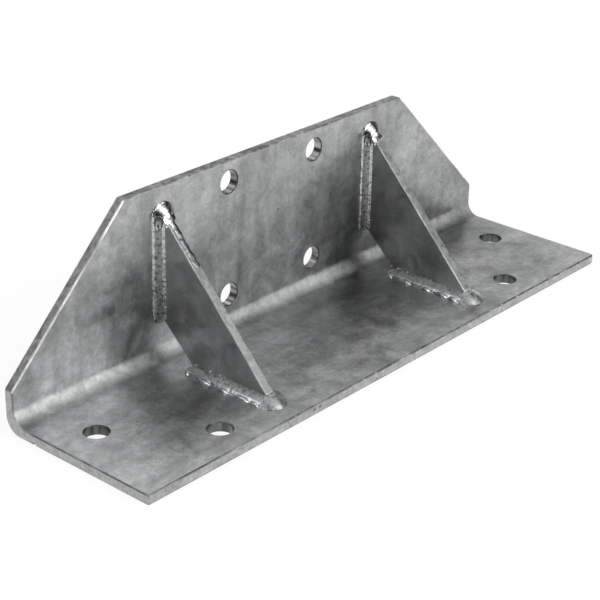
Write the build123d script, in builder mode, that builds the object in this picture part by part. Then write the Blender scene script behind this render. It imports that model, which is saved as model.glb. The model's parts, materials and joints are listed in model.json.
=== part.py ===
"""Gusseted angle bracket: one folded steel plate, two gussets and the welds that hold them.

Millimetres.  +X runs along the fold, the upright flange stands at the back (+Y) and the
base lies on Z = 0 with its front edge towards -Y.  The origin is the middle of the underside.
"""
import os

from build123d import *

# ---- folded plate -------------------------------------------------------------------
plate_length = 400.0
plate_thickness = 6.0
base_depth = 107.0
flange_height = 109.0
bend_inner_radius = 8.5
bend_outer_radius = 10.0
flange_left_end_height = 25.5
flange_right_end_height = 27.0
flange_top_overhang = 28.0
left_corner_radius = 1.5
right_top_corner_radius = 4.0
right_front_corner_radius = 2.5
shoulder_radius = 2.0
plate_edge_round = 0.8

# ---- gussets ------------------------------------------------------------------------
gusset_spacing = 179.0
gusset_thickness = 6.0
gusset_top_margin = 18.0
gusset_toe_margin = 20.5
nose_above_weld = 0.5
clip_height = 26.5
clip_reach = 28.5
gusset_edge_round = 0.5

# ---- fillet welds -------------------------------------------------------------------
weld_height = 5.0
weld_crown = 0.7
weld_crown_flats = 4
wall_weld_width = 5.5
base_weld_width = 7.0

# ---- bolt holes ---------------------------------------------------------------------
hole_diameter = 14.0
hole_edge_chamfer = 0.4
flange_hole_pitch = 73.0
flange_lower_row_height = 25.5
flange_upper_row_margin = 13.0
rear_row_setback = 42.5
rear_hole_end_margin = 25.0
front_row_margin = 20.0
front_hole_gusset_distance = 39.0

# ---- worked out from the sizes above ------------------------------------------------
back_y = base_depth / 2
front_y = -base_depth / 2
wall_y = back_y - plate_thickness
floor_z = plate_thickness
flange_top_length = gusset_spacing + 2 * flange_top_overhang
toe_y = front_y + gusset_toe_margin
gusset_top_z = flange_height - gusset_top_margin
gusset_nose = weld_height + nose_above_weld
clip_top_z = floor_z + clip_height
clip_front_y = wall_y - clip_reach

os.makedirs("parts", exist_ok=True)


def finish(builder, name):
    """Label a finished piece and write its STEP file."""
    builder.part.label = name
    export_step(builder.part, f"parts/{name}.step")


# ---- the plate: an L section pressed over one bend line, then trimmed to its outlines ----
with BuildPart() as folded_plate:
    with BuildSketch(Plane.YZ) as plate_section:
        with BuildLine():
            Polyline(
                (front_y, 0), (back_y, 0), (back_y, flange_height),
                (wall_y, flange_height), (wall_y, floor_z), (front_y, floor_z),
                close=True,
            )
        make_face()
        # Pressing thickens the plate in the bend, so the outer arc is tighter than concentric.
        for corner, radius in (
            ((back_y, 0), bend_outer_radius), ((wall_y, floor_z), bend_inner_radius)
        ):
            fillet(plate_section.vertices().sort_by_distance(corner)[0], radius=radius)
    extrude(amount=plate_length / 2, both=True)

    # Upright outline: full length up to the shoulders, then sloping in to a shorter top.
    with BuildSketch(Plane.XZ.offset(-back_y)) as flange_outline:
        with BuildLine():
            Polyline(
                (-plate_length / 2, 0), (plate_length / 2, 0),
                (plate_length / 2, flange_right_end_height),
                (flange_top_length / 2, flange_height),
                (-flange_top_length / 2, flange_height),
                (-plate_length / 2, flange_left_end_height),
                close=True,
            )
        make_face()
        shoulders = flange_outline.vertices().filter_by_position(
            Axis.Y, 0, flange_height, inclusive=(False, False)
        )
        fillet(shoulders, radius=shoulder_radius)
        top_corners = flange_outline.vertices().group_by(Axis.Y)[-1].sort_by(Axis.X)
        fillet(top_corners[0], radius=left_corner_radius)
        fillet(top_corners[-1], radius=right_top_corner_radius)
    extrude(amount=base_depth, mode=Mode.INTERSECT)

    # Base outline: a rectangle with its two front corners rounded.
    with BuildSketch() as base_outline:
        Rectangle(plate_length, base_depth)
        front_corners = base_outline.vertices().group_by(Axis.Y)[0].sort_by(Axis.X)
        fillet(front_corners[0], radius=left_corner_radius)
        fillet(front_corners[-1], radius=right_front_corner_radius)
    extrude(amount=flange_height, mode=Mode.INTERSECT)

    # The zinc coat rounds every cut edge.  The skins are the rolled faces of the plate, and
    # an edge that only one of them owns is where a cut starts.
    flat_skins = folded_plate.faces().filter_by(Plane.XY).filter_by_position(
        Axis.Z, -plate_edge_round, plate_thickness + plate_edge_round
    ) + folded_plate.faces().filter_by(Plane.XZ).filter_by_position(
        Axis.Y, wall_y - plate_edge_round, back_y + plate_edge_round
    )
    bent_skins = folded_plate.faces().filter_by(GeomType.CYLINDER).filter_by(
        lambda face: face.axis_of_rotation.is_parallel(Axis.X)
    )
    skin_edges = (flat_skins + bent_skins).edges()
    cut_edges = ShapeList(edge for edge in skin_edges if skin_edges.count(edge) == 1)
    fillet(cut_edges, radius=plate_edge_round)

    # Four holes in the upright between the gussets, then two staggered pairs in the base.
    rows_apart = flange_height - flange_upper_row_margin - flange_lower_row_height
    flange_pattern = Plane(
        (0, wall_y, flange_lower_row_height + rows_apart / 2), x_dir=(1, 0, 0), z_dir=(0, -1, 0)
    )
    rear_row = Plane((0, back_y - rear_row_setback, floor_z))
    rear_pitch = plate_length - 2 * rear_hole_end_margin
    front_row = Plane((0, front_y + front_row_margin, floor_z))
    front_pitch = gusset_spacing + 2 * front_hole_gusset_distance
    for pattern, pitch, row_spacing, rows in (
        (flange_pattern, flange_hole_pitch, rows_apart, 2),
        (rear_row, rear_pitch, 0, 1),
        (front_row, front_pitch, 0, 1),
    ):
        with Locations(pattern):
            with GridLocations(pitch, row_spacing, 2, rows):
                Hole(hole_diameter / 2)
        hole_rims = folded_plate.edges(Select.LAST).filter_by(GeomType.CIRCLE)
        chamfer(hole_rims, length=hole_edge_chamfer)
finish(folded_plate, "folded_plate")


def make_gusset(centre_x):
    """A right triangle with blunt noses, its inner corner clipped clear of the bend."""
    with BuildPart() as gusset:
        with BuildSketch(Plane.YZ.offset(centre_x)):
            with BuildLine():
                Polyline(
                    (wall_y, clip_top_z), (wall_y, gusset_top_z),
                    (wall_y - gusset_nose, gusset_top_z), (toe_y, floor_z + gusset_nose),
                    (toe_y, floor_z), (clip_front_y, floor_z),
                    close=True,
                )
            make_face()
        extrude(amount=gusset_thickness / 2, both=True)
        free_edges = gusset.edges().sort_by(SortBy.LENGTH)[-2:]
        fillet(free_edges, radius=gusset_edge_round)
    return gusset


def make_weld(foot, run_length, width):
    """A fillet weld that runs along both sides of a gusset and turns round its end.

    The foot plane lies on the plate: its origin is the middle of the gusset's end, its Y
    axis points on past that end and its Z axis stands out of the plate.
    """
    half = gusset_thickness / 2
    crest = Vector(half + width / 2, weld_height / 2)
    crest += Vector(weld_height, width).normalized() * weld_crown
    across_end = Plane(foot.origin, x_dir=foot.x_dir, z_dir=-foot.y_dir)
    across_start = across_end.offset(run_length)

    # Half of the bead's section, its crowned face drawn as flats along an arc.
    crown = ThreePointArc((half + width, 0), crest, (half, weld_height))
    with BuildSketch() as bead:
        with BuildLine():
            Polyline(*(crown @ (flat / weld_crown_flats) for flat in range(weld_crown_flats + 1)))
            Polyline((half, weld_height), (half, 0), (half + width, 0))
        make_face()

    with BuildPart() as weld:
        with BuildSketch(across_end):
            add(bead.sketch)
            mirror(about=Plane.YZ)
        extrude(amount=run_length)

        # The turned end fills in front of the gusset's own end.
        with BuildSketch(across_end):
            add(bead.sketch)
            Rectangle(half, weld_height, align=Align.MIN)
        revolve(axis=Axis(foot.origin, foot.z_dir), revolution_arc=180)

        # Each run starts in a rounded pool beside the clipped corner.
        for side in (-1, 1):
            with BuildSketch(across_start):
                add(bead.sketch if side > 0 else bead.sketch.mirror(Plane.YZ))
            heel = across_start.from_local_coords((side * half, 0, 0))
            revolve(axis=Axis(heel, foot.z_dir * -side), revolution_arc=90)
    return weld


for hand, centre_x in (("left", -gusset_spacing / 2), ("right", gusset_spacing / 2)):
    finish(make_gusset(centre_x), f"{hand}_gusset")

    up_the_wall = Plane((centre_x, wall_y, gusset_top_z), x_dir=(1, 0, 0), z_dir=(0, -1, 0))
    wall_weld = make_weld(up_the_wall, gusset_top_z - clip_top_z, wall_weld_width)
    finish(wall_weld, f"{hand}_wall_weld")

    along_the_base = Plane((centre_x, toe_y, floor_z), x_dir=(-1, 0, 0), z_dir=(0, 0, 1))
    base_weld = make_weld(along_the_base, clip_front_y - toe_y, base_weld_width)
    finish(base_weld, f"{hand}_base_weld")
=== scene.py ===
"""Gusseted angle bracket in hot-dip galvanised steel: shapes, finishes, floor, light and camera.

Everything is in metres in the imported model's own frame: +X along the fold, +Y out of the
flange's back face, +Z up, with the origin at the middle of the base's underside.
"""

import json
import math
import random

import bpy
from mathutils import Matrix, Vector


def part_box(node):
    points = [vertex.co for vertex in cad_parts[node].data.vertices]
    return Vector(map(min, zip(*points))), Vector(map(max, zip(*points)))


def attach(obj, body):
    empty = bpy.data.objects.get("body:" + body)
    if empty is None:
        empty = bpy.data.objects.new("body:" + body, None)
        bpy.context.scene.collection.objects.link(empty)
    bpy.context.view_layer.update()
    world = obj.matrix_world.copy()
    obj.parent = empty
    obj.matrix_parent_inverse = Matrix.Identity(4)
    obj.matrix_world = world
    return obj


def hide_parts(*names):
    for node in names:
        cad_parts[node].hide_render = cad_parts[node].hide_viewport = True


bl_info = {
    "name": "Gusseted Angle Bracket",
    "version": (1, 0, 0),
    "blender": (4, 5, 0),
    "location": "View3D > Sidebar > Bracket",
    "description": "Models and finishes a galvanised angle bracket with two welded gussets",
    "category": "Add Mesh",
}

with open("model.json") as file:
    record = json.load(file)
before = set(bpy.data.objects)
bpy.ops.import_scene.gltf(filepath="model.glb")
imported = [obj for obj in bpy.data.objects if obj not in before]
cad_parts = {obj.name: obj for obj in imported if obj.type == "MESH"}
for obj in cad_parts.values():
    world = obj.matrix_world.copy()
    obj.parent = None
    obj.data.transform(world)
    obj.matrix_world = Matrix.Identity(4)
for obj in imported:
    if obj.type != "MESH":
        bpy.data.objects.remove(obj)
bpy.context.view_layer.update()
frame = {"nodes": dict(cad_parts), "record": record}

MM = 0.001
HANDS = ("left", "right")
PLATE_LOW, PLATE_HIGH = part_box("folded_plate")
MOUNTS = {mount["name"]: mount for mount in frame["record"]["mounts"]}

# Places of the finishes among the materials of the plate, of a gusset and of a weld.
SKIN, BASE_EDGE, FLANGE_EDGE, SHADED_ARRIS, HIGHLIGHT_ARRIS = range(5)
GUSSET_SIDE, GUSSET_EDGE = range(2)
BEAD_MIDDLE, BEAD_HIGHLIGHT = range(2)

# Steps in which a rounded corner is drawn.
BEND_STEPS, CORNER_STEPS, SHOULDER_STEPS, EDGE_STEPS = 18, 8, 6, 3

# Flats round a bolt hole, and the radius of its rims.
HOLE_STEPS = 64
RIM_ROUND = 0.5 * MM

# Starts of the random draws for the left welds; the right ones take the next number.
WALL_SEED, BASE_SEED = 11, 31

# The tables below are in millimetres, and their leans in degrees.
# Nicks in the base's front arris: place along it, and radius of the ball that cuts the nick.
FRONT_NICKS = (
    (-91.2, 1.0), (-34.0, 0.9), (-23.7, 1.1), (85.2, 1.0), (97.5, 1.2), (113.4, 0.9),
    (149.2, 1.3), (151.8, 0.8), (165.2, 1.1),
)

# Drops on a weld: across the gusset, on past its end, out of the plate, the drop's three
# radii (across, along and out), and how far the drop leans.
WALL_CAP_DROPS = (
    (0.2, 1.2, 3.4, (3.4, 3.4, 2.8), 40), (-2.9, 0.8, 2.2, (2.4, 2.4, 2.0), 40),
    (3.0, 1.0, 2.4, (2.4, 2.6, 2.2), 40), (-0.4, -0.2, 5.7, (3.6, 5.2, 1.1), 27),
    (0.4, 4.6, 1.6, (2.4, 2.6, 1.8), 40), (-1.5, -3.4, 6.6, (1.8, 3.2, 0.8), 18),
)
BASE_CAP_DROPS = (
    (0, 0.4, 3.4, (2.6, 2.6, 1.8), 35), (-3.2, 4.4, 0.8, (2.6, 1.6, 1.2), 35),
    (3.0, 3.4, 0.8, (2.0, 1.8, 1.1), 35),
)

# Swells along a base weld's toe: on past the gusset's end, half length and radius.
TOE_SWELLS = ((-53.5, 1.5, 1.4), (-41, 4.5, 1.5), (-25, 3.5, 1.3), (-12.5, 5.5, 1.6), (-3, 4, 1.5))

# Spatter on the gusset beyond a base weld's start: on past its end, height and radius.
SPATTER = ((-54.5, 2, 1.2), (-57, 4.5, 1.0), (-59.4, 7.2, 0.8))

# Small drops along each side of a base weld, and the lean of these and of the spatter.
SPECKS_A_SIDE = 18
SPECK_LEAN = 0.6

# Soft panels of the studio: degrees round from -Y towards +X, degrees up, and level.
PANELS = (
    (15, 6, 4.7), (20, 25, 4.3), (0, 50, 2.6), (40, 50, 1.2), (0, 85, 1.6), (110, 6, 2.8),
    (140, 50, 2.7), (220, 50, 2.0), (270, 25, 5.0),
)


# ---- sizes and colours a user may change -----------------------------------------------


class BracketPlateSettings(bpy.types.PropertyGroup):
    """Sizes of the folded plate that its box doesn't give."""

    thickness: bpy.props.FloatProperty(
        name="Thickness", description="Thickness of the plate", default=6 * MM, unit="LENGTH"
    )
    bend_inner_radius: bpy.props.FloatProperty(
        name="Inner bend", description="Radius inside the bend", default=8.5 * MM, unit="LENGTH"
    )
    bend_outer_radius: bpy.props.FloatProperty(
        name="Outer bend", description="Radius outside the bend", default=10 * MM, unit="LENGTH"
    )
    left_end_height: bpy.props.FloatProperty(
        name="Left end", description="Height of the flange's left end", default=25.5 * MM,
        unit="LENGTH",
    )
    right_end_height: bpy.props.FloatProperty(
        name="Right end", description="Height of the flange's right end", default=27 * MM,
        unit="LENGTH",
    )
    top_overhang: bpy.props.FloatProperty(
        name="Top overhang", description="Flange top beyond the middle of each gusset",
        default=28 * MM, unit="LENGTH",
    )
    sharp_corner: bpy.props.FloatProperty(
        name="Left corners", description="Radius of the left corners", default=1.5 * MM,
        unit="LENGTH",
    )
    top_corner: bpy.props.FloatProperty(
        name="Right top corner", description="Radius of the flange's top right corner",
        default=4 * MM, unit="LENGTH",
    )
    front_corner: bpy.props.FloatProperty(
        name="Right front corner", description="Radius of the base's right front corner",
        default=2.5 * MM, unit="LENGTH",
    )
    shoulder: bpy.props.FloatProperty(
        name="Shoulders", description="Radius where the slopes meet the ends", default=2 * MM,
        unit="LENGTH",
    )
    edge_round: bpy.props.FloatProperty(
        name="Edge round", description="Radius of the zinc over each cut edge",
        default=0.8 * MM, unit="LENGTH",
    )


class BracketGussetSettings(bpy.types.PropertyGroup):
    """Sizes of the gussets that their boxes don't give."""

    nose: bpy.props.FloatProperty(
        name="Nose", description="Blunt end at the top and the toe", default=5.5 * MM,
        unit="LENGTH",
    )
    clip_height: bpy.props.FloatProperty(
        name="Clip height", description="Clipped corner up the flange", default=26.5 * MM,
        unit="LENGTH",
    )
    clip_reach: bpy.props.FloatProperty(
        name="Clip reach", description="Clipped corner along the base", default=28.5 * MM,
        unit="LENGTH",
    )
    edge_round: bpy.props.FloatProperty(
        name="Edge round", description="Radius of the zinc over each edge", default=0.5 * MM,
        unit="LENGTH",
    )


class BracketWeldSettings(bpy.types.PropertyGroup):
    """How the weld beads are laid."""

    grain: bpy.props.FloatProperty(
        name="Grain", description="Finest detail of the bead's surface", default=0.3 * MM,
        unit="LENGTH",
    )
    root: bpy.props.FloatProperty(
        name="Root", description="Depth to which a bead is melted into the plate",
        default=0.5 * MM, unit="LENGTH",
    )
    wall_roll: bpy.props.FloatProperty(
        name="Wall roll", description="Radius of the rolled borders of the beads up the flange",
        default=0.75 * MM, unit="LENGTH",
    )
    wall_border: bpy.props.FloatProperty(
        name="Wall border", description="Width of the bright borders of the wall beads",
        default=0.75 * MM, unit="LENGTH",
    )
    wander: bpy.props.FloatProperty(
        name="Wander", description="How far the borders of a bead wander", default=0.3 * MM,
        unit="LENGTH",
    )
    lumps: bpy.props.FloatProperty(
        name="Lumps", description="Height of the fine lumps on a bead", default=0.09 * MM,
        unit="LENGTH",
    )
    edge_run: bpy.props.FloatProperty(
        name="Edge run", description="Length of the zinc run down the left gusset's free edge",
        default=30 * MM, unit="LENGTH",
    )


class BracketFinishSettings(bpy.types.PropertyGroup):
    """Colours of the zinc and of the floor."""

    plate: bpy.props.FloatVectorProperty(
        name="Plate", description="Zinc on the plate", subtype="COLOR",
        default=(0.39, 0.395, 0.398), min=0, max=1,
    )
    gusset: bpy.props.FloatVectorProperty(
        name="Gussets", description="Zinc on the gussets", subtype="COLOR",
        default=(0.41, 0.415, 0.42), min=0, max=1,
    )
    edge: bpy.props.FloatVectorProperty(
        name="Base edges", description="Zinc on the base's cut edges", subtype="COLOR",
        default=(0.42, 0.425, 0.43), min=0, max=1,
    )
    gusset_edge: bpy.props.FloatVectorProperty(
        name="Gusset edges", description="Zinc on the gussets' cut edges", subtype="COLOR",
        default=(0.38, 0.385, 0.39), min=0, max=1,
    )
    flange_edge: bpy.props.FloatVectorProperty(
        name="Flange edges", description="Thin zinc on the flange's cut edges", subtype="COLOR",
        default=(0.32, 0.325, 0.33), min=0, max=1,
    )
    # Painted shade: a dark colour over the base's arrises and the flange's low ends.
    arris: bpy.props.FloatVectorProperty(
        name="Dull arrises", description="Zinc wiped thin over the base's arrises",
        subtype="COLOR", default=(0.23, 0.235, 0.24), min=0, max=1,
    )
    # Painted highlight: a bright colour along the arrises of the flange's slopes.
    highlight_arris: bpy.props.FloatVectorProperty(
        name="Bright arrises", description="Zinc rubbed bright along the flange's slopes",
        subtype="COLOR", default=(0.72, 0.725, 0.73), min=0, max=1,
    )
    # Painted shade: the bores are coloured darker than the plate's zinc.
    bore: bpy.props.FloatVectorProperty(
        name="Bores", description="Zinc in the bolt holes", subtype="COLOR",
        default=(0.24, 0.245, 0.25), min=0, max=1,
    )
    # Painted shade: the wall beads' middles are coloured darker than the base beads.
    wall_weld: bpy.props.FloatVectorProperty(
        name="Wall welds", description="Zinc over the beads up the flange", subtype="COLOR",
        default=(0.27, 0.275, 0.28), min=0, max=1,
    )
    # Painted highlight: a bright colour on the borders and caps of the wall beads.
    painted_weld_highlight: bpy.props.FloatVectorProperty(
        name="Weld borders", description="Bright zinc on the borders and caps of the beads",
        subtype="COLOR", default=(0.52, 0.525, 0.53), min=0, max=1,
    )
    base_weld: bpy.props.FloatVectorProperty(
        name="Base welds", description="Zinc over the beads along the base", subtype="COLOR",
        default=(0.36, 0.365, 0.37), min=0, max=1,
    )
    floor: bpy.props.FloatVectorProperty(
        name="Floor", description="Floor paint", subtype="COLOR",
        default=(0.92, 0.92, 0.92), min=0, max=1,
    )


class BracketStageSettings(bpy.types.PropertyGroup):
    """Camera and lights."""

    camera_place: bpy.props.FloatVectorProperty(
        name="Camera", description="Place of the camera", subtype="TRANSLATION", unit="LENGTH",
        default=(-0.68967, -0.57326, 0.45403),
    )
    heading: bpy.props.FloatProperty(
        name="Heading", description="Turn of the view from +Y towards +X", subtype="ANGLE",
        default=math.radians(49.088),
    )
    fall: bpy.props.FloatProperty(
        name="Fall", description="Angle at which the camera looks down", subtype="ANGLE",
        default=math.radians(25.595),
    )
    roll: bpy.props.FloatProperty(
        name="Roll", description="Turn of the camera about its own axis", subtype="ANGLE",
        default=math.radians(1.171),
    )
    lens: bpy.props.FloatProperty(
        name="Lens", description="Focal length on a 36 mm wide film", default=102.5
    )
    floor_size: bpy.props.FloatProperty(
        name="Floor size", description="Side of the square floor", default=12, unit="LENGTH"
    )
    brightness: bpy.props.FloatProperty(
        name="Brightness", description="Strength of all the lit panels together", default=1
    )
    panel_core: bpy.props.FloatProperty(
        name="Panel core", description="Half angle in which a panel is at its full level",
        subtype="ANGLE", default=math.radians(4),
    )
    panel_edge: bpy.props.FloatProperty(
        name="Panel edge", description="Half angle at which a panel has faded out",
        subtype="ANGLE", default=math.radians(22),
    )


# ---- modelling helpers -------------------------------------------------------------------


def clear_selection():
    """Leave nothing selected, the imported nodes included."""
    bpy.ops.object.select_all(action="DESELECT")


def make_active(piece):
    """Make a piece the only one selected."""
    clear_selection()
    piece.select_set(True)
    bpy.context.view_layer.objects.active = piece


def add_block(name, low, high):
    """Add a block between two corners."""
    clear_selection()
    bpy.ops.mesh.primitive_cube_add(size=1, location=(low + high) / 2, scale=high - low)
    bpy.ops.object.transform_apply(location=True, rotation=True, scale=True)
    block = bpy.context.object
    block.name = name
    block.data.name = name
    return block


def pick(piece, kind, wanted):
    """Enter edit mode with only the edges or faces selected that wanted() accepts.

    It is asked about an edge's two ends, or about a face's centre and normal.
    """
    make_active(piece)
    bpy.ops.object.mode_set(mode="EDIT")
    bpy.ops.mesh.select_mode(type=kind)
    bpy.ops.mesh.select_all(action="DESELECT")
    bpy.ops.object.mode_set(mode="OBJECT")
    mesh = piece.data
    if kind == "EDGE":
        for edge in mesh.edges:
            edge.select = wanted(*(mesh.vertices[end].co for end in edge.vertices))
    else:
        for face in mesh.polygons:
            face.select = wanted(face.center, face.normal)
    bpy.ops.object.mode_set(mode="EDIT")


def pick_all(piece):
    """Enter edit mode with the whole mesh selected."""
    make_active(piece)
    bpy.ops.object.mode_set(mode="EDIT")
    bpy.ops.mesh.select_all(action="SELECT")


def near(value, target, slack=0.01 * MM):
    """Whether two lengths are the same but for rounding."""
    return abs(value - target) < slack


def edge_at(**places):
    """A test for edges whose two ends lie at the given x, y or z."""

    def wanted(*ends):
        return all(near(getattr(end, axis), at) for end in ends for axis, at in places.items())

    return wanted


def round_edges(piece, wanted, offset, segments):
    """Round the edges that wanted() accepts."""
    pick(piece, "EDGE", wanted)
    bpy.ops.mesh.bevel(offset=offset, offset_type="OFFSET", segments=segments, affect="EDGES")
    bpy.ops.object.mode_set(mode="OBJECT")


def cut_away(piece, point, normal):
    """Cut a piece by a plane and close it, taking away what the normal points at."""
    pick_all(piece)
    bpy.ops.mesh.bisect(
        plane_co=point, plane_no=normal, use_fill=True, clear_outer=True, threshold=0.001 * MM
    )
    bpy.ops.object.mode_set(mode="OBJECT")


def apply_modifier(piece, kind, **settings):
    """Add a modifier and apply it."""
    make_active(piece)
    modifier = piece.modifiers.new(kind.title(), kind)
    for name, value in settings.items():
        setattr(modifier, name, value)
    bpy.ops.object.modifier_apply(modifier=modifier.name)


def subtract(piece, cutter):
    """Take a cutter's shape out of a piece and remove the cutter."""
    apply_modifier(piece, "BOOLEAN", operation="DIFFERENCE", solver="EXACT", object=cutter)
    bpy.data.objects.remove(cutter)


def soften_edges(piece, width, arris):
    """Round every sharp edge a little, with the arris finish over it."""
    piece.data.materials.append(arris)
    apply_modifier(
        piece, "BEVEL", width=width, segments=EDGE_STEPS, limit_method="ANGLE",
        angle_limit=math.radians(40), miter_outer="MITER_ARC", harden_normals=False,
        material=len(piece.data.materials) - 1,
    )


def shade_piece(piece):
    """Shade a piece smoothly, its flats staying flat."""
    make_active(piece)
    bpy.ops.object.shade_smooth()
    apply_modifier(piece, "WEIGHTED_NORMAL", mode="FACE_AREA", weight=50, keep_sharp=False)


def finish_piece(piece, slot, *nodes):
    """Hang a finished piece on the body, in place of the nodes it stands for."""
    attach(piece, "root")
    if nodes:
        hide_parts(*nodes)


# ---- material helpers --------------------------------------------------------------------


def new_finish(name):
    """An empty material with its output node."""
    finish = bpy.data.materials.new(name)
    finish.use_nodes = True
    finish.node_tree.nodes.clear()
    output = finish.node_tree.nodes.new("ShaderNodeOutputMaterial")
    return finish, finish.node_tree, output


def put(tree, kind, inputs=None, **settings):
    """Add a node, make its settings, and link or fill its inputs."""
    node = tree.nodes.new(kind)
    for name, value in settings.items():
        setattr(node, name, value)
    for name, value in (inputs or {}).items():
        if isinstance(value, bpy.types.NodeSocket):
            tree.links.new(value, node.inputs[name])
        else:
            node.inputs[name].default_value = value
    return node


def calculate(tree, operation, *values):
    """The result of a Math node."""
    return put(tree, "ShaderNodeMath", dict(enumerate(values)), operation=operation).outputs[0]


def noise(tree, coords, scale, detail=3.0, distortion=0.0, stretch=(1, 1, 1), turn=0.0):
    """Noise at so many lumps a metre, drawn out where stretch is under 1."""
    mapped = put(
        tree, "ShaderNodeMapping",
        {"Vector": coords, "Scale": stretch, "Rotation": (0, 0, turn)},
    )
    texture = put(
        tree, "ShaderNodeTexNoise",
        {"Vector": mapped.outputs[0], "Scale": scale, "Detail": detail, "Distortion": distortion},
    )
    return texture.outputs["Fac"]


def spread(tree, value, low, high, start=0.3, end=0.7):
    """A noise value stretched to the range from low to high."""
    return put(
        tree, "ShaderNodeMapRange",
        {"Value": value, "From Min": start, "From Max": end, "To Min": low, "To Max": high},
    ).outputs[0]


def product(tree, first, *others):
    """The product of several values."""
    for other in others:
        first = calculate(tree, "MULTIPLY", first, other)
    return first


def tint(tree, colour, shade):
    """A colour made lighter or darker by a value."""
    return put(
        tree, "ShaderNodeVectorMath", {0: tuple(colour), "Scale": shade}, operation="SCALE"
    ).outputs["Vector"]


def upright_or_flat(tree, coords, upright, flat):
    """One value on upright faces and another on level ones."""
    facing = put(tree, "ShaderNodeSeparateXYZ", {0: coords.outputs["Normal"]})
    level = calculate(tree, "ABSOLUTE", facing.outputs["Z"])
    level = spread(tree, level, 0, 1, start=0.35, end=0.75)
    return put(
        tree, "ShaderNodeMix", {"Factor": level, "A": upright, "B": flat}, data_type="FLOAT"
    ).outputs[0]


def specks(tree, coords, scale, size):
    """A value that is 1 but for scattered small dark dots."""
    dots = put(tree, "ShaderNodeTexVoronoi", {"Vector": coords, "Scale": scale, "Randomness": 1})
    return spread(tree, dots.outputs["Distance"], 0.45, 1, start=size * 0.6, end=size)


def zinc(tree, output, colour, roughness, shade, bump, bump_depth):
    """Join a zinc surface to the output."""
    lifted = put(
        tree, "ShaderNodeBump", {"Height": bump, "Distance": bump_depth, "Strength": 1}
    )
    surface = put(
        tree, "ShaderNodeBsdfPrincipled",
        {
            "Base Color": tint(tree, colour, shade), "Metallic": 1.0, "Roughness": roughness,
            "Normal": lifted.outputs[0],
        },
    )
    tree.links.new(surface.outputs[0], output.inputs["Surface"])


def bend_share(tree, coords):
    """A value that is 0 on level and upright faces and 1 halfway round the bend."""
    facing = put(tree, "ShaderNodeSeparateXYZ", {0: coords.outputs["Normal"]})
    share = product(tree, facing.outputs["Y"], facing.outputs["Z"])
    return spread(tree, calculate(tree, "ABSOLUTE", share), 0, 1, start=0.05, end=0.4)


def plate_finish(colour):
    """Satin zinc over rolled plate: runs down the flange, rolling marks along the base.

    Painted light and shade: the flange's colour is lighter at the left and top and darker towards the
    right and the bend, and the base's is darker towards the right.
    """
    finish, tree, output = new_finish("galvanised_plate")
    coords = put(tree, "ShaderNodeTexCoord")
    here = coords.outputs["Object"]
    place = put(tree, "ShaderNodeSeparateXYZ", {0: here})
    along, up = place.outputs["X"], place.outputs["Z"]
    clouds = noise(tree, here, 14, detail=4, distortion=0.6)
    blotches = noise(tree, here, 42, detail=5, distortion=1.2)
    mottle = noise(tree, here, 210, detail=5, distortion=0.8)
    runs = noise(tree, here, 90, detail=4, stretch=(1, 1, 0.16), distortion=0.4)
    rolled = noise(tree, here, 110, detail=4, stretch=(0.1, 1, 1), distortion=0.3, turn=0.04)
    streaks = upright_or_flat(tree, coords, runs, rolled)
    # Painted light and shade: the flange lighter at the left and top, darker towards its right end
    # and the bend; the base darker towards its right end.
    flange_painted_shade = product(
        tree,
        spread(tree, along, 1.19, 0.74, start=PLATE_LOW.x, end=PLATE_HIGH.x),
        spread(tree, up, 0.92, 1.1, start=PLATE_LOW.z, end=PLATE_HIGH.z),
    )
    base_painted_shade = spread(tree, along, 1.0, 0.9, start=0, end=PLATE_HIGH.x)
    grain = noise(tree, here, 900, detail=2)
    bend = bend_share(tree, coords)
    shade = product(
        tree,
        spread(tree, clouds, 0.86, 1.14),
        spread(tree, blotches, 0.82, 1.18),
        spread(tree, mottle, 0.83, 1.17),
        spread(tree, streaks, 0.86, 1.14),
        spread(tree, grain, 0.9, 1.1),
        upright_or_flat(tree, coords, flange_painted_shade, base_painted_shade),
        specks(tree, here, 60, 0.05),
    )
    satin = product(tree, spread(tree, blotches, 0.28, 0.4), spread(tree, clouds, 0.9, 1.1))
    roughness = calculate(tree, "MULTIPLY_ADD", bend, 0.22, satin)
    waves = calculate(tree, "ADD", product(tree, clouds, 3.0), streaks)
    dimples = product(tree, mottle, calculate(tree, "MULTIPLY_ADD", bend, 0.8, 0.25))
    bump = calculate(tree, "ADD", waves, dimples)
    zinc(tree, output, colour, roughness, shade, bump, 0.12 * MM)
    return finish


def edge_finish(name, colour, darkest, lightest):
    """Thicker, duller zinc over a cut edge, with dark pits."""
    finish, tree, output = new_finish(f"galvanised_{name}")
    here = put(tree, "ShaderNodeTexCoord").outputs["Object"]
    lumps = noise(tree, here, 160, detail=4, distortion=0.8)
    pits = noise(tree, here, 420, detail=3)
    shade = product(
        tree, spread(tree, lumps, darkest, lightest), spread(tree, pits, 0.82, 1.18),
        specks(tree, here, 110, 0.14),
    )
    bump = calculate(tree, "ADD", lumps, product(tree, pits, 0.4))
    zinc(tree, output, colour, spread(tree, lumps, 0.38, 0.55), shade, bump, 0.3 * MM)
    return finish


def arris_finish(name, colour):
    """Zinc over an arris, with bright places where it was rubbed."""
    finish, tree, output = new_finish(f"galvanised_{name}")
    here = put(tree, "ShaderNodeTexCoord").outputs["Object"]
    rubbed = noise(tree, here, 35, detail=3, distortion=0.5)
    fine = noise(tree, here, 260, detail=3)
    shade = product(
        tree, spread(tree, rubbed, 0.5, 1.5, start=0.35, end=0.65), spread(tree, fine, 0.75, 1.25)
    )
    zinc(tree, output, colour, spread(tree, fine, 0.35, 0.5), shade, fine, 0.15 * MM)
    return finish


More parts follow.
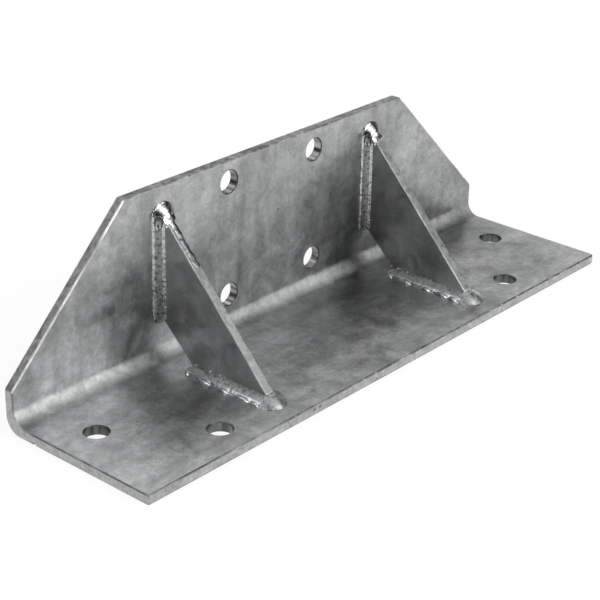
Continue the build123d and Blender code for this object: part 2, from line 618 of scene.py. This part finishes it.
def bore_finish(name, colour, stretch):
    """Zinc in a punched hole, scored along the bore."""
    finish, tree, output = new_finish(f"galvanised_{name}")
    here = put(tree, "ShaderNodeTexCoord").outputs["Object"]
    scores = noise(tree, here, 420, detail=2, stretch=stretch)
    lumps = noise(tree, here, 160, detail=3, distortion=1, stretch=stretch)
    shade = product(tree, spread(tree, scores, 0.5, 1.5), spread(tree, lumps, 0.3, 2.0))
    zinc(tree, output, colour, spread(tree, lumps, 0.25, 0.45), shade, scores, 0.15 * MM)
    return finish


def gusset_finish(colour):
    """Zinc over a gusset, mottled and a little duller than the plate."""
    finish, tree, output = new_finish("galvanised_gusset")
    here = put(tree, "ShaderNodeTexCoord").outputs["Object"]
    clouds = noise(tree, here, 22, detail=4, distortion=0.8)
    blotches = noise(tree, here, 75, detail=5, distortion=1)
    grain = noise(tree, here, 900, detail=2)
    shade = product(
        tree, spread(tree, clouds, 0.82, 1.18), spread(tree, blotches, 0.82, 1.18),
        spread(tree, grain, 0.9, 1.1),
    )
    bump = calculate(tree, "ADD", product(tree, clouds, 2.5), product(tree, grain, 0.2))
    zinc(tree, output, colour, spread(tree, blotches, 0.32, 0.44), shade, bump, 0.12 * MM)
    return finish


def weld_finish(name, colour, fleck, smoothest, roughest):
    """Zinc that pooled over a bead; fleck is how light its specks of slag are."""
    finish, tree, output = new_finish(f"galvanised_{name}")
    here = put(tree, "ShaderNodeTexCoord").outputs["Object"]
    pools = noise(tree, here, 150, detail=3, distortion=1.0)
    flecks = noise(tree, here, 560, detail=2, distortion=0.4)
    shade = product(
        tree, spread(tree, pools, 0.85, 1.15),
        spread(tree, flecks, fleck, 1.1, start=0.35, end=0.5),
    )
    bump = calculate(tree, "ADD", pools, product(tree, flecks, 0.2))
    roughness = spread(tree, pools, smoothest, roughest)
    zinc(tree, output, colour, roughness, shade, bump, 0.1 * MM)
    return finish


# ---- the folded plate ----------------------------------------------------------------------


def bolt_holes():
    """Middle, axis and radius of each bolt hole."""
    for name in ("flange_holes", "base_rear_holes", "base_front_holes"):
        mount = MOUNTS[name]
        dims = mount["dims"]
        middle = Vector(mount["pos_m"])
        across = Vector((dims["spacing_x_mm"] * MM / 2, 0, 0))
        up = Vector((0, 0, dims.get("spacing_y_mm", 0) * MM / 2))
        for row in (-1, 1) if up.length else (0,):
            for side in (-1, 1):
                yield middle + side * across + row * up, Vector(mount["axis"]), dims["hole_r_mm"] * MM


class BRACKET_OT_model_plate(bpy.types.Operator):
    """Model the folded plate with its trimmed flange and bolt holes"""

    bl_idname = "bracket.model_plate"
    bl_label = "Model the folded plate"

    def execute(self, context):
        sizes = context.scene.bracket_plate
        colours = context.scene.bracket_finish
        wall_y = PLATE_HIGH.y - sizes.thickness
        floor_z = PLATE_LOW.z + sizes.thickness
        base_high = Vector((PLATE_HIGH.x, PLATE_HIGH.y, floor_z))
        plate = add_block("folded_plate_body", PLATE_LOW, base_high)

        self.raise_flange(plate, wall_y)
        inner_corner = edge_at(y=wall_y, z=floor_z)
        outer_corner = edge_at(y=PLATE_HIGH.y, z=PLATE_LOW.z)
        round_edges(plate, inner_corner, sizes.bend_inner_radius, BEND_STEPS)
        round_edges(plate, outer_corner, sizes.bend_outer_radius, BEND_STEPS)
        self.trim_outline(plate, sizes)
        self.round_base_corners(plate, sizes)
        self.assign_finishes(plate, colours)
        # The rounded edges get painted shade, a dark colour; the flange's upper ones take other
        # finishes next.
        soften_edges(plate, sizes.edge_round, arris_finish("shaded_arris", colours.arris))
        self.finish_flange_arrises(plate, colours, floor_z)
        self.mark(plate, floor_z, wall_y)
        for middle, axis, radius in bolt_holes():
            self.bore(plate, middle, axis, radius)
        self.assign_bores(plate, colours)
        shade_piece(plate)
        finish_piece(plate, "galvanised_plate", "folded_plate")
        return {"FINISHED"}

    def raise_flange(self, plate, wall_y):
        """Draw the flange up out of the back of the base."""
        pick_all(plate)
        bpy.ops.mesh.bisect(plane_co=(0, wall_y, 0), plane_no=(0, 1, 0))
        bpy.ops.object.mode_set(mode="OBJECT")
        pick(plate, "FACE", lambda centre, normal: normal.z > 0.9 and centre.y > wall_y)
        rise = PLATE_HIGH.z - max(vertex.co.z for vertex in plate.data.vertices)
        bpy.ops.mesh.extrude_region_move(TRANSFORM_OT_translate={"value": (0, 0, rise)})
        bpy.ops.mesh.select_all(action="SELECT")
        bpy.ops.mesh.dissolve_limited(angle_limit=math.radians(1))
        bpy.ops.object.mode_set(mode="OBJECT")

    def trim_outline(self, plate, sizes):
        """Slope the flange's ends in to its shorter top, and round the corners."""
        for hand, side, end_height, top_corner in (
            ("left", -1, sizes.left_end_height, sizes.sharp_corner),
            ("right", 1, sizes.right_end_height, sizes.top_corner),
        ):
            low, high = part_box(f"{hand}_gusset")
            top_x = (low.x + high.x) / 2 + side * sizes.top_overhang
            end_x = side * PLATE_HIGH.x
            rise = PLATE_HIGH.z - end_height
            run = abs(end_x - top_x)
            cut_away(plate, (end_x, 0, end_height), (side * rise, 0, run))
            shoulder_turn = math.atan2(run, rise)
            top_turn = math.pi / 2 - shoulder_turn
            shoulder_offset = sizes.shoulder * math.tan(shoulder_turn / 2)
            top_offset = top_corner * math.tan(top_turn / 2)
            round_edges(plate, edge_at(x=end_x, z=end_height), shoulder_offset, SHOULDER_STEPS)
            round_edges(plate, edge_at(x=top_x, z=PLATE_HIGH.z), top_offset, CORNER_STEPS)

    def round_base_corners(self, plate, sizes):
        """Round the base's two front corners."""
        for side, radius in ((-1, sizes.sharp_corner), (1, sizes.front_corner)):
            corner = edge_at(x=side * PLATE_HIGH.x, y=PLATE_LOW.y)
            round_edges(plate, corner, radius, CORNER_STEPS)

    def bore(self, plate, middle, axis, radius):
        """Bore one bolt hole and break its rims."""
        clear_selection()
        bpy.ops.mesh.primitive_cylinder_add(
            vertices=HOLE_STEPS, radius=radius, depth=40 * MM, location=middle,
            rotation=axis.to_track_quat("Z", "Y").to_euler(),
        )
        subtract(plate, bpy.context.object)

        def on_rim(*ends):
            reaches = [end - middle - (end - middle).dot(axis) * axis for end in ends]
            level = near((ends[0] - ends[1]).dot(axis), 0)
            return level and all(near(reach.length, radius, 0.02 * MM) for reach in reaches)

        round_edges(plate, on_rim, RIM_ROUND, EDGE_STEPS)

    def assign_finishes(self, plate, colours):
        """Give the skins and the cut edges their own zinc, ends and front apart from slopes."""
        plate.data.materials.append(plate_finish(colours.plate))
        plate.data.materials.append(edge_finish("base_edge", colours.edge, 0.85, 1.15))
        plate.data.materials.append(edge_finish("flange_edge", colours.flange_edge, 0.55, 1.4))
        for face in plate.data.polygons:
            slanted = abs(face.normal.x) > 0.05 and face.normal.z > 0.05
            if slanted or near(face.center.z, PLATE_HIGH.z):
                face.material_index = FLANGE_EDGE
            elif abs(face.normal.x) > 0.05 or near(face.center.y, PLATE_LOW.y):
                face.material_index = BASE_EDGE
            else:
                face.material_index = SKIN

    def finish_flange_arrises(self, plate, colours, floor_z):
        """The flange's slope arrises get a painted highlight, a bright colour, and its top arrises
        keep the edge's zinc.
        """
        plate.data.materials.append(arris_finish("highlight_arris", colours.highlight_arris))
        slopes_from = 4 * floor_z
        slopes_to = PLATE_HIGH.z - 1.5 * MM
        for face in plate.data.polygons:
            if face.material_index == SHADED_ARRIS and face.center.z > slopes_from:
                on_slope = face.center.z < slopes_to
                face.material_index = HIGHLIGHT_ARRIS if on_slope else FLANGE_EDGE

    def mark(self, plate, floor_z, wall_y):
        """Nick the front arris and the left end, and prick and ring the flange's face."""
        marks = [(Vector((x * MM, PLATE_LOW.y, floor_z)), radius) for x, radius in FRONT_NICKS]
        left_end_nick = Vector((PLATE_LOW.x, 31.6 * MM, 0.5 * MM))
        prick = Vector((-59.5 * MM, wall_y - 0.3 * MM, 80.2 * MM))
        ring = Vector((166.3 * MM, wall_y - 0.1 * MM, 40.9 * MM))
        marks += [(left_end_nick, 1.6), (prick, 0.65)]
        cutters = []
        for place, radius in marks:
            clear_selection()
            bpy.ops.mesh.primitive_ico_sphere_add(
                subdivisions=2, radius=radius * MM, location=place
            )
            cutters.append(bpy.context.object)
        clear_selection()
        bpy.ops.mesh.primitive_torus_add(
            location=ring, rotation=(math.pi / 2, 0, 0), major_radius=2.6 * MM,
            minor_radius=0.25 * MM, major_segments=32, minor_segments=6,
        )
        cutters.append(bpy.context.object)
        for cutter in cutters:
            subtract(plate, cutter)

    def assign_bores(self, plate, colours):
        """Give the bores their own zinc, scored along each hole, with painted shade: bores darker
        than the plate, the base's darker still, and the rims darkest.
        """
        flange_bore = len(plate.data.materials)
        shaded_base_bore = flange_bore + 1
        shaded_rim = flange_bore + 2
        zinc_colour = Vector(colours.bore)
        plate.data.materials.append(bore_finish("flange_bore", zinc_colour, (1, 0.12, 1)))
        # Painted shade: the base's bores at under half the bores' colour, and the rims darker still.
        plate.data.materials.append(bore_finish("shaded_base_bore", zinc_colour * 0.45, (1, 1, 0.12)))
        plate.data.materials.append(arris_finish("shaded_hole_rim", zinc_colour * 0.4))
        holes = list(bolt_holes())
        for face in plate.data.polygons:
            for middle, axis, radius in holes:
                away = face.center - middle
                away -= away.dot(axis) * axis
                turned = abs(face.normal.dot(axis))
                if away.length < radius + 1.2 * RIM_ROUND and turned < 0.97:
                    bore = flange_bore if abs(axis.z) < 0.5 else shaded_base_bore
                    face.material_index = shaded_rim if turned > 0.2 else bore


# ---- the gussets ---------------------------------------------------------------------------


class BRACKET_OT_model_gussets(bpy.types.Operator):
    """Model the two triangular gussets"""

    bl_idname = "bracket.model_gussets"
    bl_label = "Model the gussets"

    def execute(self, context):
        sizes = context.scene.bracket_gusset
        colours = context.scene.bracket_finish
        faces = gusset_finish(colours.gusset)
        edges = edge_finish("gusset_edge", colours.gusset_edge, 0.85, 1.15)
        arris = arris_finish("gusset_arris", colours.edge)
        for hand in HANDS:
            low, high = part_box(f"{hand}_gusset")
            gusset = add_block(f"{hand}_gusset_body", low, high)
            self.cut_free_edge(gusset, sizes, low, high)
            self.clip_corner(gusset, sizes, low, high)
            gusset.data.materials.append(faces)
            gusset.data.materials.append(edges)
            for face in gusset.data.polygons:
                on_side = abs(face.normal.x) > 0.9
                face.material_index = GUSSET_SIDE if on_side else GUSSET_EDGE
            soften_edges(gusset, sizes.edge_round, arris)
            shade_piece(gusset)
            finish_piece(gusset, "galvanised_gusset", f"{hand}_gusset")
        return {"FINISHED"}

    def cut_free_edge(self, gusset, sizes, low, high):
        """Slope the free edge from the top nose to the toe nose."""
        top = Vector((0, high.y - sizes.nose, high.z))
        toe = Vector((0, low.y, low.z + sizes.nose))
        slope = top - toe
        cut_away(gusset, toe, (0, -slope.z, slope.y))

    def clip_corner(self, gusset, sizes, low, high):
        """Cut the inner corner off, clear of the bend."""
        upper_end = (0, high.y, low.z + sizes.clip_height)
        cut_away(gusset, upper_end, (0, sizes.clip_height, -sizes.clip_reach))


# ---- the welds -----------------------------------------------------------------------------


class WeldFoot:
    """Where a weld lies: its origin at the middle of the gusset's end, on the plate."""

    def __init__(self, origin, across, past_end, outward, half, width, height, run_length):
        self.frame = Matrix((across, past_end, outward)).transposed()
        self.origin = origin
        self.half = half
        self.width = width
        self.height = height
        self.run_length = run_length

    def place(self, across, past_end, outward):
        """A point given across the gusset, on past its end and out of the plate."""
        return self.origin + self.frame @ Vector((across, past_end, outward))

    def stations(self, step, reach):
        """Points and headings at even steps up one side, round the end and down the other."""
        turn_length = math.pi * reach
        total = 2 * self.run_length + turn_length
        count = round(total / step)
        for index in range(count + 1):
            travelled = total * index / count
            if travelled < self.run_length:
                yield Vector((-reach, travelled - self.run_length, 0)), math.pi
            elif travelled < self.run_length + turn_length:
                angle = math.pi - (travelled - self.run_length) / reach
                yield Vector((reach * math.cos(angle), reach * math.sin(angle), 0)), angle
            else:
                yield Vector((reach, self.run_length + turn_length - travelled, 0)), 0.0


def add_drop(foot, station, angle, lift, radii, lean):
    """Add one drop of metal: a squashed ball, its radii across, along and out of the bead."""
    outward = Vector((math.cos(angle), math.sin(angle), 0))
    facing = (outward * math.sin(lean) + Vector((0, 0, math.cos(lean)))).normalized()
    along = Vector((0, 0, 1)).cross(outward)
    across = along.cross(facing)
    turn = foot.frame @ Matrix((across, along, facing)).transposed()
    bpy.ops.mesh.primitive_ico_sphere_add(
        subdivisions=2, radius=1, location=foot.place(station.x, station.y, lift),
        rotation=turn.to_euler(), scale=radii,
    )
    return bpy.context.object


def weld_core(name, node, foot, sizes):
    """A weld node's own shape, the same sunk into the plate, and a root inside the gusset.

    The copies drop the node's tags, so that they aren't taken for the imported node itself.
    """
    pieces = []
    for sunk in (0, sizes.root):
        core = frame["nodes"][node].copy()
        core.data = core.data.copy()
        core.parent = None
        for key in list(core.keys()):
            del core[key]
        bpy.context.scene.collection.objects.link(core)
        core.data.transform(Matrix.Translation(foot.frame @ Vector((0, 0, -sunk))))
        pick_all(core)
        bpy.ops.mesh.remove_doubles(threshold=0.001 * MM)
        bpy.ops.object.mode_set(mode="OBJECT")
        pieces.append(core)
    inset = 0.3 * MM
    root_top = foot.height * 0.8
    ends = (
        foot.place(inset - foot.half, inset - foot.run_length, -sizes.root),
        foot.place(foot.half - inset, -inset, root_top),
    )
    low = Vector(min(values) for values in zip(*ends))
    high = Vector(max(values) for values in zip(*ends))
    pieces.append(add_block(f"{name}_root", low, high))
    pieces[0].name = name
    pieces[0].data.name = name
    return pieces


def toe_rolls(foot, roll, wander, draw):
    """The rolled borders of a bead, one on the plate and one on the gusset."""
    lean = math.atan2(foot.height, foot.width)
    step = roll * 1.3
    on_plate = (foot.half + foot.width - roll * 0.5, 0.3 * roll)
    on_gusset = (foot.half + roll * 0.2, foot.height - 0.5 * roll)
    for reach, lift in (on_plate, on_gusset):
        drift = 0
        for station, angle in foot.stations(step, reach):
            drift = drift * 0.85 + draw.uniform(-0.4, 0.4) * wander
            swell = roll * draw.uniform(0.95, 1.05)
            yield add_drop(
                foot, station * (1 + drift / reach), angle, lift, (swell, swell * 2, swell), lean
            )


def swollen_end(foot, drops, draw):
    """The swollen end of a weld, over the gusset's blunt nose."""
    for across, past_end, lift, radii, lean in drops:
        yield add_drop(
            foot, Vector((across, past_end, 0)) * MM, math.pi / 2, lift * MM,
            Vector(radii) * MM * draw.uniform(0.97, 1.03), math.radians(lean),
        )


def edge_run(foot, nose, slope, length, draw):
    """The zinc that ran from the top of the weld down a gusset's free edge."""
    step = 1.6 * MM
    full_radii = Vector((3.0, 2.4, 0.6)) * MM
    for index in range(round(length / step)):
        travelled = index * step
        aside = draw.uniform(-0.2, 0.5) * MM
        station = Vector((aside, -travelled * math.sin(slope), 0))
        lift = nose + travelled * math.cos(slope)
        radii = full_radii * draw.uniform(0.85, 1.1)
        yield add_drop(foot, station, math.pi / 2, lift, radii, slope)


def toe_swells(foot, side, heading, draw):
    """The long swells along one lower toe of a base weld."""
    reach = foot.half + foot.width - 1.2 * MM
    for past_end, half_length, radius in TOE_SWELLS:
        station = Vector((side * reach, past_end * MM, 0))
        station.x += draw.uniform(-0.4, 0.4) * MM
        station.y += draw.uniform(-1, 1) * MM
        radii = (radius * MM, half_length * MM, radius * 0.9 * MM)
        yield add_drop(foot, station, heading, 0.7 * MM, radii, math.radians(35))


def toe_specks(foot, side, heading, draw):
    """The small drops along one upper toe of a base weld, on the gusset."""
    reach = foot.half + 0.2 * MM
    for _ in range(SPECKS_A_SIDE):
        past_end = -draw.uniform(0, foot.run_length + 2 * MM)
        radius = draw.uniform(0.5, 0.95) * MM
        lift = foot.height - draw.uniform(-0.2, 1.2) * MM
        station = Vector((side * reach, past_end, 0))
        yield add_drop(foot, station, heading, lift, (radius,) * 3, SPECK_LEAN)


def spatter(foot, side, heading):
    """The drops on the gusset's clipped edge, beyond the start of a base weld."""
    reach = foot.half - 0.3 * MM
    for past_end, lift, radius in SPATTER:
        station = Vector((side * reach, past_end * MM, 0))
        radii = Vector((1, 1.3, 1)) * radius * MM
        yield add_drop(foot, station, heading, lift * MM, radii, SPECK_LEAN)


def toe_drops(foot, draw):
    """Every drop along the two sides of a base weld."""
    for side, heading in ((-1, math.pi), (1, 0.0)):
        yield from toe_swells(foot, side, heading, draw)
        yield from toe_specks(foot, side, heading, draw)
        yield from spatter(foot, side, heading)


def melt(name, pieces, sizes):
    """Melt the pieces of a bead into one smooth skin."""
    clear_selection()
    for piece in pieces:
        piece.select_set(True)
    bead = pieces[0]
    bpy.context.view_layer.objects.active = bead
    bpy.ops.object.join()
    bpy.ops.object.transform_apply(location=True, rotation=True, scale=True)
    bead.data.materials.clear()
    apply_modifier(bead, "REMESH", mode="VOXEL", voxel_size=sizes.grain)
    apply_modifier(bead, "SMOOTH", factor=0.5, iterations=8)
    lumps = bpy.data.textures.new(f"{name}_lumps", "CLOUDS")
    lumps.noise_scale = 2.5 * MM
    lumps.noise_depth = 2
    apply_modifier(
        bead, "DISPLACE", texture=lumps, texture_coords="GLOBAL", mid_level=0.5,
        strength=sizes.lumps * 2,
    )
    return bead


def trim_bead(bead, foot, root):
    """End a bead just under the plate's face, and shade it smoothly."""
    cut_away(bead, foot.place(0, 0, -root / 2), foot.frame @ Vector((0, 0, -1)))
    make_active(bead)
    bpy.ops.object.shade_smooth()


class BRACKET_OT_lay_wall_welds(bpy.types.Operator):
    """Lay the welds that join the gussets to the flange"""

    bl_idname = "bracket.lay_wall_welds"
    bl_label = "Lay the wall welds"

    def execute(self, context):
        sizes = context.scene.bracket_weld
        gusset = context.scene.bracket_gusset
        colours = context.scene.bracket_finish
        # Painted shade in the darker middle finish, painted highlight in the bright one for the
        # borders and cap.
        middle = weld_finish("wall_weld", colours.wall_weld, 0.45, 0.3, 0.4)
        painted_highlight = weld_finish("painted_weld_highlight", colours.painted_weld_highlight, 0.6, 0.2, 0.34)
        for seed, hand in enumerate(HANDS, start=WALL_SEED):
            draw = random.Random(seed)
            name, node = f"{hand}_wall_bead", f"{hand}_wall_weld"
            low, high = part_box(f"{hand}_gusset")
            weld_low, weld_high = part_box(node)
            half = (high.x - low.x) / 2
            foot = WeldFoot(
                Vector(((low.x + high.x) / 2, high.y, high.z)),
                Vector((1, 0, 0)), Vector((0, 0, 1)), Vector((0, -1, 0)),
                half, (weld_high.x - weld_low.x) / 2 - half, weld_high.y - weld_low.y,
                high.z - low.z - gusset.clip_height,
            )
            pieces = weld_core(name, node, foot, sizes)
            pieces += toe_rolls(foot, sizes.wall_roll, sizes.wander * 0.5, draw)
            pieces += swollen_end(foot, WALL_CAP_DROPS, draw)
            if hand == "left":
                slope = math.atan2(high.z - low.z - gusset.nose, high.y - low.y - gusset.nose)
                pieces += edge_run(foot, gusset.nose, slope, sizes.edge_run, draw)
            bead = melt(name, pieces, sizes)
            self.hollow_end(bead, foot)
            trim_bead(bead, foot, sizes.root)
            self.assign_finishes(bead, foot, sizes, middle, painted_highlight)
            finish_piece(bead, "galvanised_weld", node)
        return {"FINISHED"}

    def hollow_end(self, bead, foot):
        """The crater beside the cap, where the arc was broken off."""
        crater = foot.place(-6.7 * MM, -1.6 * MM, 3.8 * MM)
        radii = Vector((2.8, 2.8, 4.6)) * MM
        clear_selection()
        bpy.ops.mesh.primitive_uv_sphere_add(
            segments=32, ring_count=16, radius=1, location=crater, scale=radii
        )
        subtract(bead, bpy.context.object)

    def assign_finishes(self, bead, foot, sizes, middle, painted_highlight):
        """Painted highlight, a bright colour, on the borders and cap, and painted shade, a darker
        colour, in the middle with flecks.
        """
        bead.data.materials.append(middle)
        bead.data.materials.append(painted_highlight)
        inward = foot.frame.transposed()
        plate_border = foot.half + foot.width - sizes.wall_border * 1.2
        cap_side, cap_crest = 1.5 * MM, -4 * MM
        for face in bead.data.polygons:
            place = inward @ (face.center - foot.origin)
            on_plate = abs(place.x) > plate_border
            on_gusset = abs(place.z - foot.height) < sizes.wall_border
            in_cap = place.y > (cap_side if place.z < foot.height else cap_crest)
            bright = in_cap or on_plate or on_gusset
            face.material_index = BEAD_HIGHLIGHT if bright else BEAD_MIDDLE


class BRACKET_OT_lay_base_welds(bpy.types.Operator):
    """Lay the welds that join the gussets to the base"""

    bl_idname = "bracket.lay_base_welds"
    bl_label = "Lay the base welds"

    def execute(self, context):
        sizes = context.scene.bracket_weld
        clip = context.scene.bracket_gusset.clip_reach
        colour = context.scene.bracket_finish.base_weld
        middle = weld_finish("base_weld", colour, 0.6, 0.36, 0.54)
        # Painted highlight: the drops along the lower toes beside the gusset are coloured lighter
        # than the bead.
        drops = weld_finish("weld_drop_highlights", Vector(colour) * 1.45, 0.95, 0.2, 0.32)
        for seed, hand in enumerate(HANDS, start=BASE_SEED):
            draw = random.Random(seed)
            name, node = f"{hand}_base_bead", f"{hand}_base_weld"
            low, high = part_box(f"{hand}_gusset")
            weld_low, weld_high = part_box(node)
            half = (high.x - low.x) / 2
            foot = WeldFoot(
                Vector(((low.x + high.x) / 2, low.y, low.z)),
                Vector((-1, 0, 0)), Vector((0, -1, 0)), Vector((0, 0, 1)),
                half, (weld_high.x - weld_low.x) / 2 - half, weld_high.z - weld_low.z,
                high.y - low.y - clip,
            )
            pieces = weld_core(name, node, foot, sizes)
            pieces += toe_drops(foot, draw)
            pieces += swollen_end(foot, BASE_CAP_DROPS, draw)
            bead = melt(name, pieces, sizes)
            trim_bead(bead, foot, sizes.root)
            bead.data.materials.append(middle)
            bead.data.materials.append(drops)
            toe_from = foot.half + foot.width - 2.4 * MM
            for face in bead.data.polygons:
                on_toe = abs(face.center.x - foot.origin.x) > toe_from
                beside_gusset = face.center.y > foot.origin.y
                bright = on_toe and beside_gusset
                face.material_index = BEAD_HIGHLIGHT if bright else BEAD_MIDDLE
            finish_piece(bead, "galvanised_weld", node)
        return {"FINISHED"}


# ---- floor, light and camera ----------------------------------------------------------------


def seen_directly(tree):
    """A value that is 1 for rays from the camera, from a reflection or through glass."""
    path = put(tree, "ShaderNodeLightPath")
    seen = calculate(
        tree, "MAXIMUM", path.outputs["Is Camera Ray"], path.outputs["Is Glossy Ray"]
    )
    return calculate(tree, "MAXIMUM", seen, path.outputs["Is Transmission Ray"])


def floor_finish(colour):
    """Matt pale paint that looks white but for the shadow on it.

    The white is only what the camera and reflections see, and lights nothing.
    """
    finish, tree, output = new_finish("pale_floor")
    paint = put(tree, "ShaderNodeBsdfDiffuse", {"Color": (*colour, 1)})
    glow_share = 0.85
    glow = put(tree, "ShaderNodeEmission", {"Color": (1, 1, 1, 1), "Strength": 1.03})
    share = product(tree, seen_directly(tree), glow_share)
    mixed = put(
        tree, "ShaderNodeMixShader", {"Fac": share, 1: paint.outputs[0], 2: glow.outputs[0]}
    )
    tree.links.new(mixed.outputs[0], output.inputs["Surface"])
    return finish


class BRACKET_OT_set_stage(bpy.types.Operator):
    """Set the floor, the lights and the camera"""

    bl_idname = "bracket.set_stage"
    bl_label = "Set the stage"

    def execute(self, context):
        stage = context.scene.bracket_stage
        self.lay_floor(stage, context.scene.bracket_finish.floor)
        self.light_room(context.scene, stage)
        self.set_camera(context.scene, stage)
        context.scene.view_settings.view_transform = "Standard"
        return {"FINISHED"}

    def lay_floor(self, stage, colour):
        """A plain floor under the base."""
        clear_selection()
        bpy.ops.mesh.primitive_plane_add(size=stage.floor_size, location=(0, 0, PLATE_LOW.z))
        floor = bpy.context.object
        floor.name = "floor"
        floor.data.materials.append(floor_finish(colour))

    def light_room(self, scene, stage):
        """A dark studio with large soft panels around the bracket."""
        room = bpy.data.worlds.new("studio")
        room.use_nodes = True
        scene.world = room
        tree = room.node_tree
        tree.nodes.clear()
        outward = put(tree, "ShaderNodeTexCoord").outputs["Generated"]
        panels = [
            self.panel(tree, outward, stage, turn, rise, level) for turn, rise, level in PANELS
        ]
        total = panels[0]
        for level in panels[1:]:
            total = calculate(tree, "ADD", total, level)
        light = put(
            tree, "ShaderNodeBackground", {"Color": (1, 1, 1, 1), "Strength": total}
        )
        output = put(tree, "ShaderNodeOutputWorld")
        tree.links.new(light.outputs[0], output.inputs["Surface"])

    def panel(self, tree, outward, stage, turn, rise, level):
        """One soft panel, its turn counted from -Y towards +X."""
        turn = math.radians(turn)
        rise = math.radians(rise)
        middle = (
            math.sin(turn) * math.cos(rise), -math.cos(turn) * math.cos(rise), math.sin(rise)
        )
        facing = put(
            tree, "ShaderNodeVectorMath", {0: outward, 1: middle}, operation="DOT_PRODUCT"
        ).outputs["Value"]
        return spread(
            tree, facing, 0, level * stage.brightness, start=math.cos(stage.panel_edge),
            end=math.cos(stage.panel_core),
        )

    def set_camera(self, scene, stage):
        """Set the camera by its place, heading, fall and roll."""
        eye = bpy.data.cameras.new("camera")
        eye.lens = stage.lens
        eye.sensor_width = 36
        eye.clip_end = 50
        camera = bpy.data.objects.new("camera", eye)
        turn = (
            Matrix.Rotation(-stage.heading, 4, "Z")
            @ Matrix.Rotation(math.pi / 2 - stage.fall, 4, "X")
            @ Matrix.Rotation(stage.roll, 4, "Z")
        )
        camera.matrix_world = Matrix.Translation(stage.camera_place) @ turn
        scene.collection.objects.link(camera)
        scene.camera = camera


class BRACKET_PT_sidebar(bpy.types.Panel):
    """Sizes, colours and steps of the bracket"""

    bl_idname = "BRACKET_PT_sidebar"
    bl_label = "Angle Bracket"
    bl_space_type = "VIEW_3D"
    bl_region_type = "UI"
    bl_category = "Bracket"

    def draw(self, context):
        for group in SETTINGS:
            box = self.layout.box()
            settings = getattr(context.scene, group)
            for name in settings.__annotations__:
                box.prop(settings, name)
        for operator in OPERATORS:
            self.layout.operator(operator.bl_idname)


SETTINGS = {
    "bracket_plate": BracketPlateSettings,
    "bracket_gusset": BracketGussetSettings,
    "bracket_weld": BracketWeldSettings,
    "bracket_finish": BracketFinishSettings,
    "bracket_stage": BracketStageSettings,
}
OPERATORS = (
    BRACKET_OT_model_plate,
    BRACKET_OT_model_gussets,
    BRACKET_OT_lay_wall_welds,
    BRACKET_OT_lay_base_welds,
    BRACKET_OT_set_stage,
)


def register():
    """Register the settings, the operators and the panel."""
    for name, group in SETTINGS.items():
        bpy.utils.register_class(group)
        setattr(bpy.types.Scene, name, bpy.props.PointerProperty(type=group))
    for operator in OPERATORS:
        bpy.utils.register_class(operator)
    bpy.utils.register_class(BRACKET_PT_sidebar)


def unregister():
    """Take everything out again, in the opposite order."""
    bpy.utils.unregister_class(BRACKET_PT_sidebar)
    for operator in reversed(OPERATORS):
        bpy.utils.unregister_class(operator)
    for name, group in reversed(SETTINGS.items()):
        delattr(bpy.types.Scene, name)
        bpy.utils.unregister_class(group)


def main():
    """Make the whole bracket."""
    register()
    bpy.ops.bracket.model_plate()
    bpy.ops.bracket.model_gussets()
    bpy.ops.bracket.lay_wall_welds()
    bpy.ops.bracket.lay_base_welds()
    bpy.ops.bracket.set_stage()


if __name__ == "__main__":
    main()
